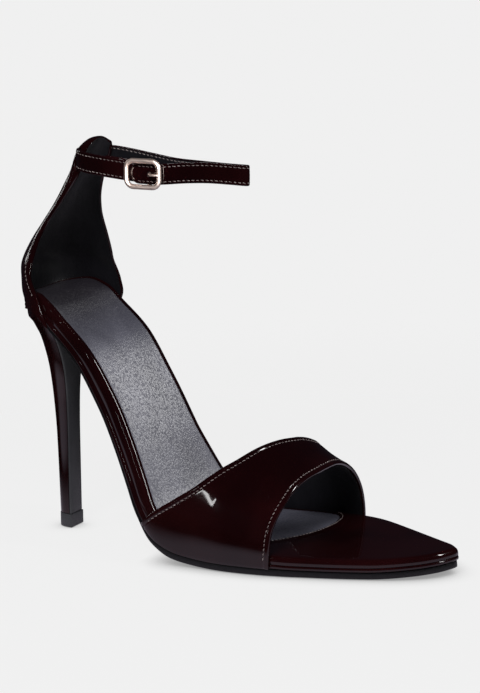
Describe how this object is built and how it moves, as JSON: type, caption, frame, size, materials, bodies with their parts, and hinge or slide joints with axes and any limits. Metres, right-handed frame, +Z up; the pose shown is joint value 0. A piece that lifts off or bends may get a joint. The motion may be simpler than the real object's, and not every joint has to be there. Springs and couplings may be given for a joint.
{
  "type": "strappy heeled sandal",
  "caption": "High slim-heeled open sandal with a wide patent band over the forefoot, a closed heel counter and a buckled ankle strap.",
  "frame": {"origin": "on the floor, at the middle of the flat tread under the ball of the foot", "axes": "+X to the toe, +Y to the wearer's inner side (the buckle is on the -Y side), +Z up"},
  "size_m": [0.2179, 0.0901, 0.1865],
  "materials": {
    "patent_oxblood": "patent, high gloss, very dark oxblood",
    "sole_black": "satin black",
    "sock_slate": "soft grained, slate grey with a low sheen",
    "charcoal": "matte charcoal",
    "rose_gold": "polished pale rose gold"
  },
  "bodies": {
    "root": {"outsole": "sole_black", "footbed": "patent_oxblood", "sock": "sock_slate", "vamp": "patent_oxblood", "counter": "patent_oxblood", "ankle_strap": "patent_oxblood", "buckle_frame": "rose_gold", "buckle_prong": "rose_gold", "heel": "patent_oxblood", "breast_cover": "charcoal", "heel_tip": "charcoal"}
  },
  "joints": []
}
